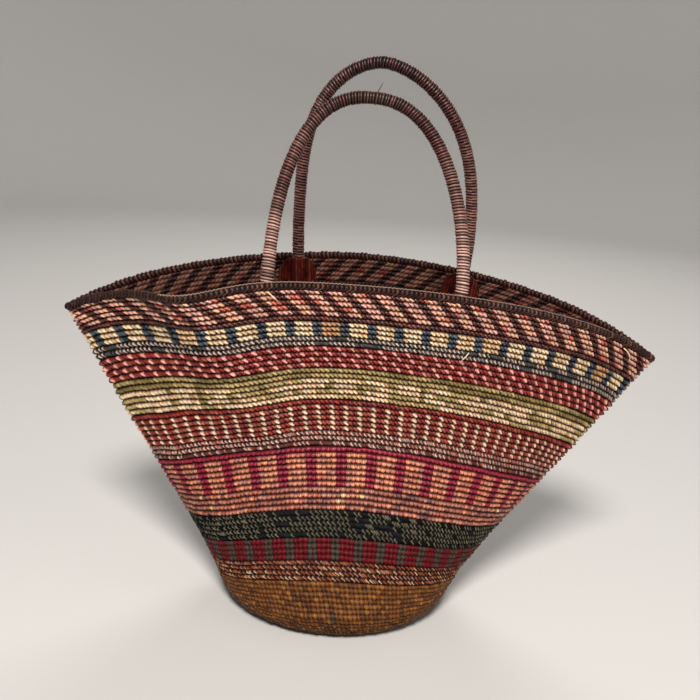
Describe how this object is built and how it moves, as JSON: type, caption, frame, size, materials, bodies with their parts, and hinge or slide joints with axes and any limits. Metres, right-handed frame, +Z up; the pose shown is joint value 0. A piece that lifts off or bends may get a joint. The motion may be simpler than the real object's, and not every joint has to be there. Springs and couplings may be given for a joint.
{
  "type": "shoulder bag",
  "caption": "Soft crocheted basket bag with a small round base, a wide lens-shaped mouth with pinched tips, and rope handles that fold over the rim.",
  "frame": {"origin": "middle of the flat base's underside", "axes": "+X along the mouth to the right tip, +Y from the front wall to the back wall, +Z up out of the mouth"},
  "size_m": [0.499, 0.1727, 0.468],
  "materials": {
    "raffia_ochre": "crocheted raffia, matt with a faint sheen",
    "raffia_tan_pink": "crocheted raffia, matt with a faint sheen",
    "raffia_red_grey": "crocheted raffia, matt with a faint sheen",
    "raffia_dark_green": "crocheted raffia, matt with a faint sheen",
    "raffia_peach_magenta": "crocheted raffia, matt with a faint sheen",
    "raffia_brown_tick": "crocheted raffia, matt with a faint sheen",
    "raffia_green_cream": "crocheted raffia, matt with a faint sheen",
    "raffia_red_dot": "crocheted raffia, matt with a faint sheen",
    "raffia_blue_cream": "crocheted raffia, matt with a faint sheen",
    "raffia_diagonal": "crocheted raffia, matt with a faint sheen",
    "raffia_rim": "crocheted raffia, dark brown edge round",
    "handle_rope": "twisted plant-fibre rope",
    "handle_binding": "raffia strand bound tightly round the rope",
    "patch_raffia": "crocheted raffia, dark red-brown"
  },
  "bodies": {
    "bag": {"base_disc": "raffia_ochre", "band_ochre": "raffia_ochre", "band_tan_pink": "raffia_tan_pink", "band_red_grey": "raffia_red_grey", "band_dark_green": "raffia_dark_green", "band_peach_magenta": "raffia_peach_magenta", "band_brown_tick": "raffia_brown_tick", "band_green_cream": "raffia_green_cream", "band_red_dot": "raffia_red_dot", "band_blue_cream": "raffia_blue_cream", "band_diagonal": "raffia_diagonal", "rim_edge": "raffia_rim", "front_left_rope_end": "handle_rope", "front_left_patch": "patch_raffia", "front_right_rope_end": "handle_rope", "front_right_patch": "patch_raffia", "back_left_rope_end": "handle_rope", "back_left_patch": "patch_raffia", "back_right_rope_end": "handle_rope", "back_right_patch": "patch_raffia"},
    "front_handle": {"front_handle_core": "handle_rope", "front_handle_binding": "handle_binding"},
    "back_handle": {"back_handle_core": "handle_rope", "back_handle_binding": "handle_binding"}
  },
  "joints": [
    {"name": "front_handle_fold", "type": "hinge", "parent": "bag", "child": "front_handle", "pos_m": [0.01006, -0.05118, 0.30057], "axis": [0.9984, 0.0529, -0.0194], "range_deg": [-2.5, 140]},
    {"name": "back_handle_fold", "type": "hinge", "parent": "bag", "child": "back_handle", "pos_m": [0.02391, 0.05739, 0.30065], "axis": [-0.9986, 0.0421, 0.0322], "range_deg": [-2.5, 128]}
  ]
}
